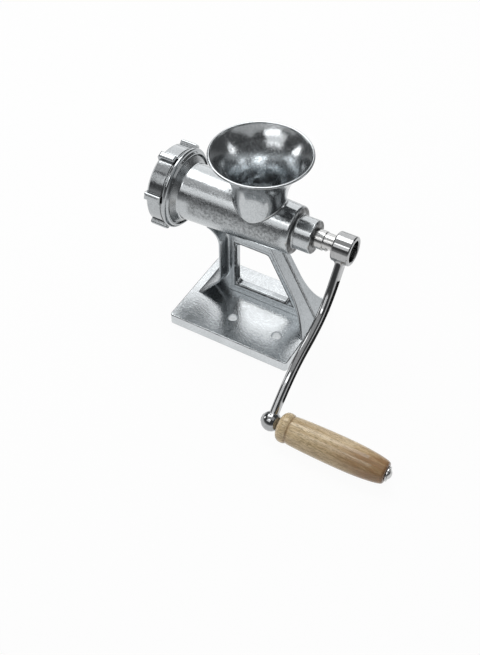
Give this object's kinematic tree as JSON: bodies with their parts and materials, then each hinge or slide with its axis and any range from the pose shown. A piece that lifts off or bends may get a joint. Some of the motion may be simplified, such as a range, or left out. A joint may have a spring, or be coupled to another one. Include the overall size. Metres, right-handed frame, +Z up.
{
  "type": "hand crank meat grinder",
  "caption": "Table-top manual meat grinder: bell hopper on a tapered barrel, windowed stand on a bolt-down plate, ring nut with cutting plate, S-shaped crank with a turning wooden grip.",
  "frame": {"origin": "middle of the underside of the base plate, on the surface the grinder stands on", "axes": "+X along the barrel from the ring nut towards the crank, +Y away from the front of the plate with the bolt holes, +Z up"},
  "size_m": [0.2767, 0.1759, 0.1712],
  "materials": {
    "polished_casting": "polished",
    "satin_casting": "satin, as cast",
    "steel": "machined",
    "plated_crank": "bright plated",
    "bush_bronze": "machined",
    "grip_wood": "clear lacquer"
  },
  "bodies": {
    "housing": {"base_plate": "polished_casting", "stand": "satin_casting", "barrel": "polished_casting", "hopper": "polished_casting", "plate_key": "steel", "shaft_bush": "bush_bronze"},
    "crank": {"feed_screw": "satin_casting", "drive_shaft": "steel", "knife_stud": "steel", "cross_knife": "steel", "thrust_washer": "steel", "crank_arm": "plated_crank", "grip_spindle": "steel", "end_washer": "steel"},
    "grip": {"wood_grip": "grip_wood"},
    "plate": {"cutting_plate": "steel"},
    "ring": {"ring_nut": "polished_casting"}
  },
  "joints": [
    {"name": "crank_turn", "type": "hinge", "parent": "housing", "child": "crank", "pos_m": [0.078, 0.015, 0.1055], "axis": [1, 0, 0], "continuous": true},
    {"name": "grip_spin", "type": "hinge", "parent": "crank", "child": "grip", "pos_m": [0.133, -0.105, 0.0133], "axis": [1, 0, 0], "continuous": true},
    {"name": "plate_slide", "type": "slide", "parent": "housing", "child": "plate", "axis": [-1, 0, 0], "range_m": [0, 0.0161]},
    {"name": "ring_turn", "type": "hinge", "parent": "plate", "child": "ring", "pos_m": [-0.0815, 0.015, 0.1055], "axis": [-1, 0, 0], "range_deg": [0, 1440]}
  ],
  "couplings": [
    {"joint": "plate_slide", "follows": "ring_turn", "m_per_rad": 0.00063662}
  ]
}
